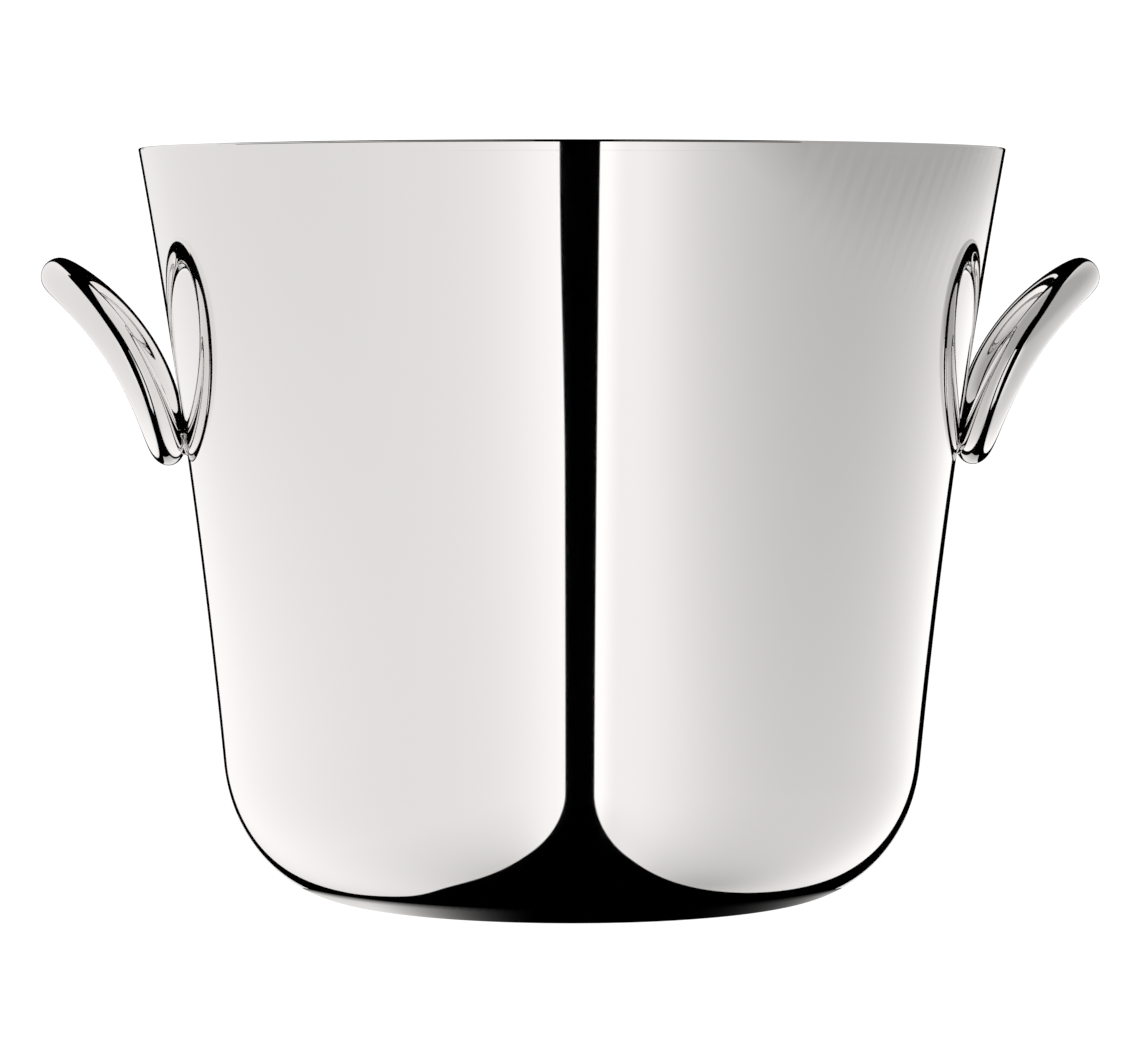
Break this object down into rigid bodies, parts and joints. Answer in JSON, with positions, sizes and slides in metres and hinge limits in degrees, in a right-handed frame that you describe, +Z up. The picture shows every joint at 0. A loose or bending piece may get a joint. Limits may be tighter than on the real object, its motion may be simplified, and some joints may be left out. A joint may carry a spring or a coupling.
{
  "type": "champagne bucket",
  "caption": "Round silver champagne bucket with a flaring wall, a rounded base and an oval ring handle soldered on each side.",
  "frame": {"origin": "centre of the flat base, on the surface that the bucket stands on", "axes": "+Z up along the bucket's axis, +X from the axis towards the right-hand handle's foot, +Y towards the back"},
  "size_m": [0.2826, 0.2306, 0.2],
  "materials": {
    "polished_silver": "polished",
    "cast_silver": "polished"
  },
  "bodies": {
    "root": {"bucket_shell": "polished_silver", "rim_wire": "polished_silver", "handle_ring_left": "cast_silver", "handle_ring_right": "cast_silver", "handle_foot_left": "cast_silver", "handle_foot_right": "cast_silver"}
  },
  "joints": []
}
